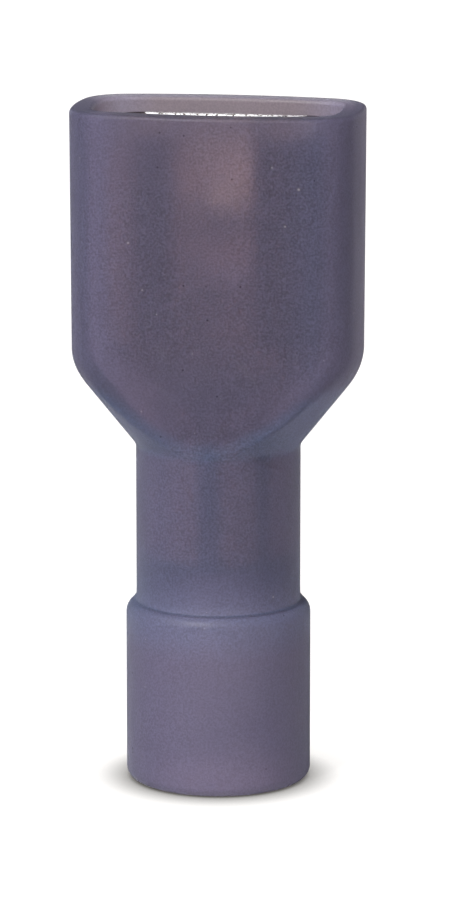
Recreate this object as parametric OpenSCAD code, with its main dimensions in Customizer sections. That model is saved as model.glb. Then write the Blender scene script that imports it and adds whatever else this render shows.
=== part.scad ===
// Fully insulated female spade terminal: a folded sheet metal terminal in a moulded housing.
// The origin is the centre of the collar's open end. Z runs up to the mouth, X is the width of
// the blade, and the flat base of the receptacle lies on the +Y side, its curls on the -Y side.
// The sizes stack up from the wire entry: each piece starts where the one below it ends, and the
// housing is the terminal's own size with the gaps and walls that are named here.

/* [Blade] */
// Width of the blade that the receptacle takes
blade_w = 6.35; // [6:0.05:6.8]
// Thickness of the blade
blade_t = 0.8; // [0.6:0.05:0.9]
// Gap each side between the blade and the receptacle's walls
blade_gap = 0.125; // [0.05:0.025:0.3]

/* [Terminal] */
// Thickness of the sheet
sheet_t = 0.4; // [0.3:0.02:0.46]
// Outer height of the receptacle, from its base to the top of its curls
recept_h = 3.1; // [2.8:0.05:3.6]
// Length of the receptacle
recept_len = 7.5; // [6.6:0.1:8.4]
// Outer radius of the bends beside the base
bend_r = 0.9; // [0.7:0.05:1.1]
// Outer radius of the curls
curl_r = 1.3; // [1.15:0.05:1.5]
// How far the curls' leading ends lie behind the base's
curl_setback = 0.4; // [0.1:0.05:0.8]
// Length of the trough, where the receptacle narrows to the barrel
trough_len = 3.1; // [2.7:0.1:4]
// Height of the trough's side walls at the receptacle
trough_h = 1.7; // [1.3:0.1:1.9]
// Outer diameter of the wire barrel
barrel_dia = 3.9; // [3.5:0.05:4.4]
// Length of the wire barrel
barrel_len = 4.5; // [4:0.1:5.5]
// Butted seam of the barrel, edge to edge
seam_gap = 0.1; // [0.04:0.02:0.3]
// Radius of the locking dimple in the base
dimple_r = 0.8; // [0.5:0.05:1]
// Height of the locking dimple
dimple_h = 0.22; // [0.1:0.02:0.26]
// Distance of the dimple from the base's leading edge
dimple_pos = 3.3; // [2.5:0.1:4]
// Width of the tongue that stops the blade
stop_w = 1.5; // [1:0.1:2]
// Length of that tongue
stop_len = 1.3; // [1:0.1:1.5]
// Angle at which the tongue stands off the base
stop_angle = 32; // [20:1:40]
// Distance of the tongue's root from the trough
stop_pos = 0.8; // [0.5:0.1:1.5]

/* [Mouth of the housing] */
// Wall of the mouth and of the flare below it
mouth_wall = 0.8; // [0.6:0.05:1]
// Gap each side between the receptacle and the mouth's round ends
side_gap = 0.45; // [0.35:0.05:0.8]
// Gap between the receptacle's base and the broad face behind it
base_gap = 0.28; // [0.24:0.02:0.5]
// Gap between the curls and the broad face in front of them
curl_gap = 0.78; // [0.4:0.02:1.2]
// Depth of the receptacle's leading edge below the rim
recess = 0.5; // [0.3:0.05:1]
// Radius of the crown on the two broad faces
crown_r = 20; // [14:1:60]
// Outer radius of the mouth's four upright corners
corner_r = 1.6; // [1.2:0.1:1.9]
// Slope of the flare, measured from the axis
flare_angle = 38.5; // [35:0.5:42]
// Outer radius of the shoulder between the flare and the mouth
shoulder_r = 1.9; // [1.2:0.1:2.4]
// How far below the barrel's top the flare starts
flare_start = 0.4; // [0.2:0.05:0.5]

/* [Neck and collar of the housing] */
// Wall of the neck round the barrel
neck_wall = 0.8; // [0.6:0.05:1.2]
// Gap all round between the barrel and its bore
barrel_clear = 0.05; // [0.02:0.01:0.08]
// Diameter of the collar's bore, which takes the wire's insulation
entry_dia = 5; // [4.5:0.05:5.5]
// Wall of the collar
collar_wall = 0.65; // [0.5:0.05:1]
// Height of the collar
collar_h = 6.25; // [5.6:0.05:7]
// How far below the collar's shoulder its bore ends
entry_floor = 0.65; // [0.3:0.05:1]
// Height of the funnel that guides the strands into the barrel
funnel_h = 2; // [1.5:0.1:2.5]
// How far the funnel's mouth stands inside the barrel's bore
funnel_lip = 0.15; // [0.05:0.05:0.3]
// Round on the collar's upper edge
collar_round = 0.45; // [0.1:0.05:0.6]
// Round on the collar's lower edge
foot_round = 0.35; // [0.1:0.05:0.4]

/* [Hidden] */
$fa = 3;
$fs = 0.08;
over = 1;                                           // how far a cutter runs past what it cuts

// heights, from the wire entry up
entry_depth = collar_h - entry_floor;
barrel_z = entry_depth + funnel_h;                  // the ledge that the barrel stands on
barrel_top = barrel_z + barrel_len;
neck_top = barrel_top - flare_start;
recept_z = barrel_top + trough_len;
stop_z = recept_z + stop_pos;
recept_top = recept_z + recept_len;
housing_h = recept_top + recess;

// the terminal across
barrel_bore = barrel_dia - 2 * sheet_t;
mid_r = (barrel_dia - sheet_t) / 2;                 // middle of the barrel's wall
recept_w = blade_w + 2 * (blade_gap + sheet_t);
flat_half = recept_w / 2 - bend_r;                  // half of the base between its bends

// the housing across
mouth_r = recept_w / 2 + side_gap + mouth_wall;
mouth_d = recept_h + base_gap + curl_gap + 2 * mouth_wall;
neck_r = barrel_dia / 2 + barrel_clear + neck_wall;
collar_r = entry_dia / 2 + collar_wall;
funnel_dia = barrel_bore - 2 * funnel_lip;          // where the strands leave the funnel

// the receptacle's place in the mouth
base_y = mouth_d / 2 - mouth_wall - base_gap;       // back of its base
front_y = base_y - recept_h;                        // front of its curls
blade_y = base_y - sheet_t - blade_t;               // front of a blade that lies on the base
curl_x = recept_w / 2 - curl_r;
curl_y = front_y + curl_r;
curl_end = 180 + asin((blade_y - curl_y) / curl_r); // angle at which a curl meets the blade

// the trough's mesh
trough_steps = 24;                                  // strips across each half
trough_rings = 8;
lap = 0.1;                                          // how far it laps into its neighbours
lap_inset = 0.01;                                   // how much thinner its skins are there

// ---- profiles ----

// A bar of radius r and height h as a half section, with its two outer edges rounded.
module bar_profile(r, h, low, high) {
    translate([0, low]) square([r, h - low - high]);
    square([r - low, h]);
    translate([0, h - high]) square([r - high, high]);
    translate([r - low, low]) circle(low);
    translate([r - high, h - high]) circle(high);
}

// Half section of the flared cup that the mouth is cut from. inset moves its skin inwards.
module cup_profile(inset, top) {
    round_r = shoulder_r - inset;
    centre_x = mouth_r - shoulder_r;
    centre_z = neck_top + ((centre_x - neck_r) * cos(flare_angle) + shoulder_r) / sin(flare_angle);
    tangent = [centre_x + round_r * cos(flare_angle), centre_z - round_r * sin(flare_angle)];
    apex_z = tangent[1] - tangent[0] / tan(flare_angle);
    polygon([
        [0, apex_z], tangent, [centre_x, centre_z],
        [mouth_r - inset, centre_z], [mouth_r - inset, top], [0, top]
    ]);
    translate([centre_x, centre_z]) circle(round_r);
}

// Section of the mouth: round ends, crowned broad faces and round corners, moved in by inset.
module mouth_section(inset) {
    end_r = mouth_r - inset;
    face_r = crown_r - inset;
    round_r = corner_r - inset;
    face_y = crown_r - mouth_d / 2;
    y = (pow(crown_r - corner_r, 2) - pow(mouth_r - corner_r, 2) - pow(face_y, 2)) / (2 * face_y);
    x = sqrt(pow(mouth_r - corner_r, 2) - y * y);
    far = 3 * corner_r;
    to_face = [x, y + face_y] / (crown_r - corner_r);
    to_end = [x, y] / (mouth_r - corner_r);
    difference() {
        intersection() {
            circle(end_r);
            translate([0, face_y]) circle(face_r);
            translate([0, -face_y]) circle(face_r);
        }
        for (i = [0, 1], j = [0, 1]) mirror([i, 0]) mirror([0, j])
            difference() {
                polygon([
                    [x, y], [x, y] + far * to_face, [x, y] + far * (to_face + to_end),
                    [x, y] + far * to_end
                ]);
                translate([x, y]) circle(round_r);
            }
    }
}

// ---- housing ----

module mouth_solid(inset, top) {
    intersection() {
        rotate_extrude() cup_profile(inset, top);
        linear_extrude(top) mouth_section(inset);
    }
}

// The wire's way in: the bore for the insulation, and the funnel that ends at the ledge.
module wire_way() {
    translate([0, 0, -over]) cylinder(d = entry_dia, h = entry_depth + over);
    translate([0, 0, entry_depth]) cylinder(d1 = entry_dia, d2 = funnel_dia, h = funnel_h);
    translate([0, 0, barrel_z])
        cylinder(d = barrel_dia + 2 * barrel_clear, h = barrel_len + over);
}

module housing() {
    color([0.42, 0.41, 0.50, 0.75])
        difference() {
            union() {
                mouth_solid(0, housing_h);
                cylinder(r = neck_r, h = neck_top);
                rotate_extrude() bar_profile(collar_r, collar_h, foot_round, collar_round);
            }
            mouth_solid(mouth_wall, housing_h + over);
            wire_way();
        }
}

// ---- terminal ----

// A strip of sheet bent round the origin at outer radius r, from angle a0 to angle a1.
module bend(r, a0, a1) {
    mid = (a0 + a1) / 2;
    reach = 3 * r;
    difference() {
        circle(r);
        circle(r - sheet_t);
        if (a1 - a0 <= 180)
            for (side = [0, 1]) rotate(side == 0 ? a0 : a1 + 180) translate([-reach, -2 * reach])
                square(2 * reach);
        else
            polygon([
                [0, 0], reach * [cos(a1), sin(a1)], -reach * sqrt(2) * [cos(mid), sin(mid)],
                reach * [cos(a0), sin(a0)]
            ]);
    }
}

// Section of the receptacle: a flat base, a bend and a wall each side, and the curls over it.
// Here the base lies at the bottom, at -base_y, and the curls stand up.
module recept_section() {
    translate([-flat_half, -base_y]) square([2 * flat_half, sheet_t]);
    for (i = [0, 1]) mirror([i, 0]) {
        translate([flat_half, bend_r - base_y]) bend(bend_r, 270, 360);
        translate([recept_w / 2 - sheet_t, bend_r - base_y])
            square([sheet_t, recept_h - bend_r - curl_r]);
        translate([curl_x, -curl_y]) bend(curl_r, 0, curl_end);
    }
}

// Middle line of the narrowing trough, at s of its half length (0 the base, 1 the wall's edge).
function trough_mid(s) =
    let (
        r = bend_r - sheet_t / 2, arc = r * PI / 2, wall = trough_h - bend_r,
        run = s * (flat_half + arc + wall), a = (run - flat_half) / arc * 90
    )
    run < flat_half ? [run, base_y - sheet_t / 2]
    : run < flat_half + arc ? [flat_half + r * sin(a), base_y - bend_r + r * cos(a)]
    : [flat_half + r, base_y - bend_r - (run - flat_half - arc)];

// Middle line of the barrel's wall, from the back (0) round to the seam (1).
function barrel_mid(s) =
    let (a = s * (180 - asin((seam_gap / 2 + lap_inset) / mid_r)))
    [mid_r * sin(a), mid_r * cos(a)];

// The trough between barrel and receptacle: t runs up from the barrel, s across from -1 to 1.
function ease(t) = t * t * (3 - 2 * t);
function blend_mid(s, t) =
    let (p = barrel_mid(abs(s)), q = trough_mid(abs(s)), m = p + ease(t) * (q - p))
    [s < 0 ? -m[0] : m[0], m[1]];
function skin_point(s, t, side, z) =
    let (
        d = 0.002,
        along = blend_mid(min(s + d, 1), t) - blend_mid(max(s - d, -1), t),
        normal = [-along[1], along[0]] / norm(along),
        m = blend_mid(s, t) + side * (sheet_t / 2 - lap_inset) * normal
    )
    [m[0], m[1], z];

// A sheet lofted through the rings. It laps a hair inside the sheet at both of its ends.
module trough() {
    steps = 2 * trough_steps + 1;
    row = 2 * steps;
    heights = [
        barrel_top - lap,
        for (k = [0 : trough_rings]) barrel_top + k / trough_rings * (recept_z - barrel_top),
        recept_z + lap
    ];
    last = len(heights) - 1;
    points = [
        for (z = heights, side = [1, -1], i = [0 : steps - 1])
            let (t = max(0, min(1, (z - barrel_top) / (recept_z - barrel_top))))
            skin_point(side * (1 - i / trough_steps), t, side, z)
    ];
    walls = [
        for (k = [0 : last - 1], i = [0 : row - 1])
            let (a = k * row + i, b = k * row + (i + 1) % row)
            each [[a, a + row, b], [b, a + row, b + row]]
    ];
    ends = [
        for (k = [0, last], i = [0 : steps - 2])
            let (a = k * row + i, b = a + 1, c = k * row + row - 2 - i, d = c + 1)
            each k == 0 ? [[a, b, d], [b, c, d]] : [[a, d, b], [b, d, c]]
    ];
    polyhedron(points, concat(walls, ends));
}

// The dimple's two faces are caps of like spheres, one sheet apart.
module dimple(grow) {
    ball_r = (dimple_r * dimple_r + dimple_h * dimple_h) / (2 * dimple_h);
    translate([0, base_y - sheet_t - dimple_h + ball_r + grow, recept_top - dimple_pos])
        sphere(r = ball_r);
}

// The tongue is cut free on three sides and bent out of the base towards the blade's end.
module stop_window() {
    translate([-stop_w / 2 - sheet_t / 4, base_y - sheet_t - over, stop_z])
        cube([stop_w + sheet_t / 2, sheet_t + 2 * over, stop_len + sheet_t / 2]);
}

module stop_tongue() {
    inner_y = base_y - sheet_t;
    tip = [inner_y - stop_len * sin(stop_angle), stop_z + stop_len * cos(stop_angle)];
    rotate([90, 0, 90]) translate([0, 0, -stop_w / 2]) linear_extrude(stop_w)
        polygon([
            [inner_y, stop_z - sheet_t], [base_y, stop_z - sheet_t],
            [base_y, stop_z + sheet_t * tan(stop_angle / 2)],
            tip + sheet_t * [cos(stop_angle), sin(stop_angle)], tip, [inner_y, stop_z]
        ]);
}

module receptacle() {
    difference() {
        translate([0, 0, recept_z]) linear_extrude(recept_len) mirror([0, 1]) recept_section();
        rotate([90, 0, 90]) translate([0, 0, -recept_w]) linear_extrude(2 * recept_w)
            polygon([
                [base_y - bend_r, recept_top], [front_y - over, recept_top - curl_setback
                    * (base_y - bend_r - front_y + over) / (base_y - bend_r - front_y)],
                [front_y - over, recept_top + over], [base_y - bend_r, recept_top + over]
            ]);
        stop_window();
        intersection() {
            dimple(sheet_t);
            translate([-dimple_r, base_y - sheet_t, recept_z])
                cube([2 * dimple_r, 2 * sheet_t, recept_len]);
        }
    }
    intersection() {
        difference() {
            dimple(0);
            dimple(sheet_t);
        }
        translate([-2 * dimple_r, base_y - 2 * sheet_t, recept_z])
            cube([4 * dimple_r, 2 * sheet_t, recept_len]);
    }
    stop_tongue();
}

module barrel() {
    difference() {
        translate([0, 0, barrel_z]) cylinder(d = barrel_dia, h = barrel_len);
        translate([0, 0, barrel_z - over])
            cylinder(d = barrel_bore, h = barrel_len + 2 * over);
        translate([-seam_gap / 2, -barrel_dia, barrel_z - over])
            cube([seam_gap, barrel_dia, barrel_len + 2 * over]);
    }
}

module terminal() {
    color([0.80, 0.80, 0.82]) {
        barrel();
        trough();
        receptacle();
    }
}

housing();
terminal();
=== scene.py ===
"""Looks of an insulated female spade terminal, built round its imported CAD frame.

The moulded nylon housing and the folded sheet terminal are surfaces computed with numpy. Every
size below is in metres, in the frame of the CAD model: Z runs from the wire entry up to the
mouth, X is the width of the blade, and the receptacle's flat base lies on the +Y side.
"""

import logging
import math
from dataclasses import dataclass, field
from enum import Enum

import bpy
import numpy as np
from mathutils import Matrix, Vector


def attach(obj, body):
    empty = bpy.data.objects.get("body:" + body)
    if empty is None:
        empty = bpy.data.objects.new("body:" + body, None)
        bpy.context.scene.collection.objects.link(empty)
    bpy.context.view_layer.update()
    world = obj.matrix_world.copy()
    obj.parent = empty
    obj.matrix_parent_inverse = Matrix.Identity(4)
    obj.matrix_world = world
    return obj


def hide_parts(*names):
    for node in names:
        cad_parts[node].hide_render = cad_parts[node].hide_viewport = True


LOG = logging.getLogger("spade_terminal")
CUT_EDGE_AND_SEAM_SHADE = "cut_edge_and_seam_shade"
SHEARED_EDGE = "sheared_edge"
PAINTED_SHADE = "painted_shade"
THICK = "thick"
INSIDE = "inside"
MM = 0.001
Colour = tuple[float, float, float, float]
Value = bpy.types.NodeSocket | float | tuple[float, ...] | Vector

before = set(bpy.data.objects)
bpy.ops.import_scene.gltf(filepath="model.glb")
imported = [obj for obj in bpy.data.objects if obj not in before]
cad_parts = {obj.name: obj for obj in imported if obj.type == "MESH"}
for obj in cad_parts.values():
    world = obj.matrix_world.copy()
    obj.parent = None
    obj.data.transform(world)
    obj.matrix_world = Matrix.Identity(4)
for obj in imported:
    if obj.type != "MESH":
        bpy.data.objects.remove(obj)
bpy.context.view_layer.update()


class Node(Enum):
    """The CAD nodes of the part, which are its separate physical pieces."""

    HOUSING = "housing"
    TERMINAL = "terminal"


class RayUse(Enum):
    """The kinds of ray that a stage material tells apart, by their Light Path outputs."""

    CAMERA = "Is Camera Ray"
    GLOSSY = "Is Glossy Ray"
    TRANSMISSION = "Is Transmission Ray"
    SHADOW = "Is Shadow Ray"


# ---- curves and meshes ----


def clamped(values: np.ndarray) -> np.ndarray:
    """The same values, none of them below 0 or above 1."""
    return np.clip(values, 0, 1)


def smooth_min(a: np.ndarray, b: np.ndarray, width: float) -> np.ndarray:
    """Lesser of two fields, with a parabola where they lie within width of each other.

    Formula: with h = clamp(1/2 + (b - a) / (2 width)), the result is
    b (1 - h) + a h - width h (1 - h).

    Args:
        a: First field.
        b: Second field.
        width: Difference at which the blend ends.

    Returns:
        The blended field.
    """
    h = clamped(0.5 + (b - a) / (2 * width))
    return b * (1 - h) + a * h - width * h * (1 - h)


def smooth_max(a: np.ndarray, b: np.ndarray, width: float) -> np.ndarray:
    """Greater of two fields, blended as smooth_min does, with the signs turned."""
    return -smooth_min(-a, -b, width)


def quarter(steps: int) -> np.ndarray:
    """Angles from 0 to a quarter turn, both ends included, in radians."""
    return np.linspace(0, np.pi / 2, steps)


def ring_faces(rings: int, around: int) -> np.ndarray:
    """Quads of a tube whose rings follow each other and whose ends stay open.

    Args:
        rings: How many rings the points hold, one after the other.
        around: How many points lie on a ring.

    Returns:
        An array of point numbers, four to a face.
    """
    ring, spot = np.meshgrid(np.arange(rings - 1), np.arange(around), indexing="ij")
    here = ring * around + spot
    beside = ring * around + (spot + 1) % around
    return np.stack([here, beside, beside + around, here + around], -1).reshape(-1, 4)


def closed_tube(points: np.ndarray) -> tuple[np.ndarray, np.ndarray]:
    """Points and quads of a tube whose last ring joins its first, as a torus does.

    Args:
        points: Array of rings, points round a ring, and coordinates.

    Returns:
        The points as rows, and the faces.
    """
    rings, around = points.shape[:2]
    faces = ring_faces(rings + 1, around) % (rings * around)
    return points.reshape(-1, 3), faces


@dataclass
class Shell:
    """A closed surface: its points, its faces, and how much each point lies on a cut edge."""

    points: np.ndarray
    faces: np.ndarray
    cut: np.ndarray

    def outward(self) -> "Shell":
        """Turns the faces round where they enclose a negative volume.

        Formula: six times the volume is the sum of a . (b x c + c x d) over the quads a b c d.

        Returns:
            A shell whose faces point outwards.
        """
        a, b, c, d = (self.points[self.faces[:, k]] for k in range(4))
        volume = np.einsum("ij,ij->i", a, np.cross(b, c) + np.cross(c, d)).sum()
        return self if volume > 0 else Shell(self.points, self.faces[:, ::-1], self.cut)


def closed_sheet(middle: np.ndarray, thickness: np.ndarray, kept: np.ndarray) -> Shell:
    """Gives a sheet its thickness, with walls all round its border and its windows.

    Formula: the normal is the cross product of the two grid directions, and each skin lies half
    the thickness to its side of the middle surface.

    Args:
        middle: Middle surface as an array of rows, columns and coordinates.
        thickness: Thickness at each point of the grid.
        kept: Which cells of the grid are sheet, one fewer each way than the points.

    Returns:
        The closed shell. Its points count as cut by how much thinner the sheet is there.
    """
    rows, columns = middle.shape[:2]
    normal = np.cross(np.gradient(middle, axis=1), np.gradient(middle, axis=0))
    normal /= np.linalg.norm(normal, axis=2, keepdims=True)
    half = 0.5 * thickness[..., None] * normal
    points = np.concatenate([(middle + half).reshape(-1, 3), (middle - half).reshape(-1, 3)])
    number = np.arange(rows * columns).reshape(rows, columns)
    other = rows * columns
    cell = np.stack([number[:-1, :-1], number[:-1, 1:], number[1:, 1:], number[1:, :-1]], -1)
    front = cell[kept]
    faces = [front, front[:, ::-1] + other]
    framed = np.pad(kept, 1)
    for first, second, edges in (
        (framed[1:, 1:-1], framed[:-1, 1:-1], (number[:, :-1], number[:, 1:])),
        (framed[1:-1, :-1], framed[1:-1, 1:], (number[:-1, :], number[1:, :])),
    ):
        for mask, (a, b) in ((first & ~second, edges), (second & ~first, edges[::-1])):
            start, end = a[mask], b[mask]
            faces.append(np.stack([end, start, start + other, end + other], -1))
    cut = ((thickness.max() - thickness) / np.ptp(thickness)).ravel()
    return Shell(points, np.concatenate(faces), np.concatenate([cut, cut]))


def graded(low: float, high: float, count: int, edge: float) -> tuple[np.ndarray, np.ndarray]:
    """Spots between two borders of a sheet, close together where its edges are rounded.

    Formula: at the angle a of the rounding a spot lies edge (1 - sin a) from the border, where
    each skin has dropped by edge (1 - cos a).

    Args:
        low: Where one border lies.
        high: Where the other lies.
        count: How many even steps lie between the two roundings.
        edge: Radius of the rounding.

    Returns:
        The spots, and how far each skin has dropped at each of them.
    """
    arc = quarter(4)[::-1]
    near, drop = edge * (1 - np.sin(arc)), edge * (1 - np.cos(arc))
    inner = np.linspace(low + edge, high - edge, count + 1)[1:-1]
    spots = np.concatenate([low + near, inner, high - near[::-1]])
    return spots, np.concatenate([drop, np.zeros(len(inner)), drop[::-1]])


def joined(shells: list[Shell]) -> Shell:
    """Puts several closed shells into one, all of them facing outwards.

    Args:
        shells: The shells, which keep their order.

    Returns:
        One shell that holds them all.
    """
    starts = np.cumsum([0] + [len(shell.points) for shell in shells[:-1]])
    faces = [shell.outward().faces + start for shell, start in zip(shells, starts)]
    return Shell(
        np.concatenate([shell.points for shell in shells]),
        np.concatenate(faces),
        np.concatenate([shell.cut for shell in shells]),
    )


def add_layer(piece: bpy.types.Object, name: str, values: np.ndarray) -> None:
    """Keeps one value for each point of a piece, for its material to read."""
    layer = piece.data.attributes.new(name, "FLOAT", "POINT")
    layer.data.foreach_set("value", values.astype(np.float32))


def make_piece(name: str, points: np.ndarray, faces: np.ndarray) -> bpy.types.Object:
    """Puts computed points and faces into a smooth mesh object at the origin.

    Args:
        name: Name of the piece.
        points: Rows of coordinates, in metres.
        faces: Rows of point numbers.

    Returns:
        The new object, linked to the scene.
    """
    mesh = bpy.data.meshes.new(name)
    corners = faces.shape[1]
    mesh.vertices.add(len(points))
    mesh.vertices.foreach_set("co", points.astype(np.float32).ravel())
    mesh.loops.add(faces.size)
    mesh.loops.foreach_set("vertex_index", faces.astype(np.int32).ravel())
    mesh.polygons.add(len(faces))
    mesh.polygons.foreach_set("loop_start", np.arange(len(faces), dtype=np.int32) * corners)
    mesh.polygons.foreach_set("use_smooth", np.ones(len(faces), dtype=bool))
    mesh.update(calc_edges=True)
    mesh.validate()
    piece = bpy.data.objects.new(name, mesh)
    bpy.context.scene.collection.objects.link(piece)
    return piece


# ---- node graphs ----


@dataclass
class Graph:
    """Short hand for adding and linking the nodes of one tree."""

    tree: bpy.types.NodeTree

    def add(self, kind: str, **values: Value | str) -> bpy.types.Node:
        """Adds a node and sets its properties and inputs.

        Args:
            kind: Blender's name for the node type.
            **values: Node properties by name, or inputs under in_ and their name or number, where
                a socket is linked and anything else becomes the input's value.

        Returns:
            The new node.
        """
        node = self.tree.nodes.new(kind)
        for name, value in values.items():
            if name.startswith("in_"):
                key = name[3:].replace("_", " ")
                self.feed(node.inputs[int(key) if key.isdigit() else key], value)
            else:
                setattr(node, name, value)
        return node

    def feed(self, socket: bpy.types.NodeSocket, value: Value) -> None:
        """Gives a socket its value.

        Args:
            socket: An input of a node.
            value: Another node's output, which is linked, or a value, which becomes the default.
        """
        if isinstance(value, bpy.types.NodeSocket):
            self.tree.links.new(value, socket)
        else:
            socket.default_value = value

    def math(self, operation: str, *values: Value, clamp: bool = False) -> bpy.types.NodeSocket:
        """Adds a Math node.

        Args:
            operation: Blender's name for the operation.
            *values: One to three values.
            clamp: Whether the result stays between 0 and 1.

        Returns:
            The result.
        """
        node = self.add("ShaderNodeMath", operation=operation, use_clamp=clamp)
        for number, value in enumerate(values):
            self.feed(node.inputs[number], value)
        return node.outputs[0]

    def mix(self, share: Value, low: Value, high: Value) -> bpy.types.NodeSocket:
        """Adds a Mix node for colours.

        Args:
            share: How much of high there is, from 0 to 1.
            low: The colour at 0.
            high: The colour at 1.

        Returns:
            The mixed colour.
        """
        node = self.add("ShaderNodeMix", data_type="RGBA")
        self.feed(node.inputs[0], share)
        self.feed(node.inputs[6], low)
        self.feed(node.inputs[7], high)
        return node.outputs[2]

    def group(self, tree: bpy.types.NodeTree, **inputs: float) -> bpy.types.Node:
        """Adds a node group.

        Args:
            tree: The group.
            **inputs: Values of its inputs by name.

        Returns:
            The group's node.
        """
        node = self.add("ShaderNodeGroup", node_tree=tree)
        for name, value in inputs.items():
            node.inputs[name].default_value = value
        return node

    def layer(self, name: str) -> bpy.types.NodeSocket:
        """Adds an Attribute node that reads the values of the points."""
        return self.add("ShaderNodeAttribute", attribute_name=name).outputs["Fac"]

    def scaled(self, colour: Value, factor: Value) -> bpy.types.NodeSocket:
        """Adds a Vector Math node that makes a colour factor times as strong."""
        node = self.add("ShaderNodeVectorMath", operation="SCALE", in_0=colour, in_Scale=factor)
        return node.outputs[0]

    def ramp(self, value: Value, low: Value, high: Value) -> bpy.types.NodeSocket:
        """Adds a Map Range node that rises smoothly.

        Args:
            value: What is mapped.
            low: The value that gives 0.
            high: The value that gives 1.

        Returns:
            The share from 0 to 1.
        """
        node = self.add("ShaderNodeMapRange", interpolation_type="SMOOTHSTEP")
        for number, item in enumerate((value, low, high)):
            self.feed(node.inputs[number], item)
        return node.outputs[0]


def new_material(name: str) -> tuple[bpy.types.Material, Graph, bpy.types.Node]:
    """Makes a material with an empty tree.

    Args:
        name: Name of the material.

    Returns:
        The material, its graph and its output node.
    """
    material = bpy.data.materials.new(name)
    material.use_nodes = True
    material.node_tree.nodes.clear()
    graph = Graph(material.node_tree)
    return material, graph, graph.add("ShaderNodeOutputMaterial")


# ---- housing ----


@dataclass
class Housing:
    """The moulded nylon housing: collar, neck, flare and flattened mouth, with its inside.

    The whole skin is one closed tube of rings, which runs from the foot up the outside, over the
    rim, down the inside and back to the foot.
    """

    height: float = 23.2 * MM
    mouth_r: float = 4.95 * MM
    mouth_depth: float = 5.76 * MM
    mouth_wall: float = 0.8 * MM
    mouth_draft: float = 0.04 * MM
    crown_r: float = 20 * MM
    end_r: float = 8 * MM
    corner_r: float = 1.6 * MM
    rim_round: float = 0.16 * MM
    flare_angle: float = math.radians(38.5)
    shoulder_r: float = 1.9 * MM
    crease: float = 0.2
    neck_r: float = 2.8 * MM
    neck_top: float = 11.7 * MM
    neck_fillet: float = 0.10 * MM
    haze: float = 0.37
    side_haze: float = 0.3
    side_x: float = 2.4 * MM
    side_fade: float = 1.2 * MM
    cone_skin: float = 0.1 * MM
    cone_fade: float = 0.35 * MM
    cone_low_fade: float = 0.4 * MM
    cone_high_fade: float = 0.8 * MM
    ledge_low_fade: float = 0.9 * MM
    ledge_high_fade: float = 2.4 * MM
    neck_fade: float = 0.3 * MM
    cavity_from: float = 1 * MM
    cavity_fade: float = 3 * MM
    end_from: float = 0.72
    end_fade: float = 0.2
    flare_lead: float = 0.25 * MM
    flare_tall: float = 5 * MM
    bore_lead: float = 0.05 * MM
    foot_flat: float = 0.1 * MM
    collar_r: float = 3.15 * MM
    collar_h: float = 6.25 * MM
    collar_round: float = 0.45 * MM
    foot_round: float = 0.35 * MM
    bore_r: float = 2.0 * MM
    ledge_z: float = 7.6 * MM
    funnel_r: float = 1.4 * MM
    entry_r: float = 2.5 * MM
    entry_depth: float = 5.6 * MM
    around: int = 288

    def angles(self) -> np.ndarray:
        """Polar angles of the points on a ring, in radians."""
        return np.arange(self.around) * 2 * np.pi / self.around

    def section(self, inset: np.ndarray) -> np.ndarray:
        """Polar radius of the mouth's section, moved inwards by inset.

        Formula: each quarter has three arcs that meet tangentially. The end's arc lies round
        (-back, 0) and the crown round (0, -drop). The corner's lies round the point (x, y) that is
        corner_r inside both, where two circles round those centres cross. Along a ray, an arc is
        as far as its centre's reach plus the root of radius squared less offset squared.

        Args:
            inset: How far the section is moved in, one value for each ring.

        Returns:
            Radii as an array of rings and angles.
        """
        inset = np.atleast_1d(inset)[:, None]
        turn = self.angles()[None, :]
        across, deep = np.abs(np.cos(turn)), np.abs(np.sin(turn))
        polar = np.arctan2(deep, across)

        def reach(x: float, y: float, radius: np.ndarray) -> np.ndarray:
            """How far along each ray the arc of this centre and radius lies."""
            offset = x * deep - y * across
            return x * across + y * deep + np.sqrt(np.maximum(radius**2 - offset**2, 0))

        back, drop = self.end_r - self.mouth_r, self.crown_r - self.mouth_depth / 2
        to_end, to_crown = self.end_r - self.corner_r, self.crown_r - self.corner_r
        apart = math.hypot(back, drop)
        along = (to_end**2 - to_crown**2 + apart**2) / (2 * apart)
        off = math.sqrt(to_end**2 - along**2)
        x = -back + (along * back + off * drop) / apart
        y = (off * back - along * drop) / apart
        end, crown = self.end_r - inset, self.crown_r - inset
        leaves_end = np.arctan2(end * y, end * (x + back) - to_end * back)
        leaves_corner = np.arctan2(crown * (y + drop) - to_crown * drop, crown * x)
        corner = reach(x, y, self.corner_r - inset)
        rest = np.where(polar < leaves_corner, corner, reach(0, -drop, crown))
        return np.where(polar < leaves_end, reach(-back, 0, end), rest)

    def flare(self, z: np.ndarray, inset: float, least: float) -> np.ndarray:
        """Polar radius of the flare and the mouth above it.

        Formula: the lesser of the cone and the mouth's section, and nowhere less than least. The
        blend between them takes as much off the corner as an arc of shoulder_r, which is
        r (1 - root(1 - t t)) with t the tangent of half the slope. On the broad faces it narrows
        to the share crease of that.

        Args:
            z: Heights of the rings.
            inset: How far the skin is moved in.
            least: Radius of the bore or neck below.

        Returns:
            Radii as an array of rings and angles.
        """
        tall = self.height - self.shoulder_z()
        draft = self.mouth_draft * clamped((self.height - z) / tall)
        cone = self.cone_r(z) - inset / math.cos(self.flare_angle)
        taken = 1 - math.sqrt(1 - math.tan(self.flare_angle / 2) ** 2)
        at_end = clamped((np.abs(np.cos(self.angles())) - self.end_from) / self.end_fade)
        at_end = at_end * at_end * (3 - 2 * at_end)
        width = 4 * (self.shoulder_r - inset) * taken * (self.crease + (1 - self.crease) * at_end)
        body = smooth_min(cone[:, None], self.section(inset + draft), width[None])
        return smooth_max(body, np.full_like(body, least), self.neck_fillet)

    def rings(self) -> np.ndarray:
        """All rings of the skin in order, as points."""
        radii: list[np.ndarray] = []
        heights: list[np.ndarray] = []

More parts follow.
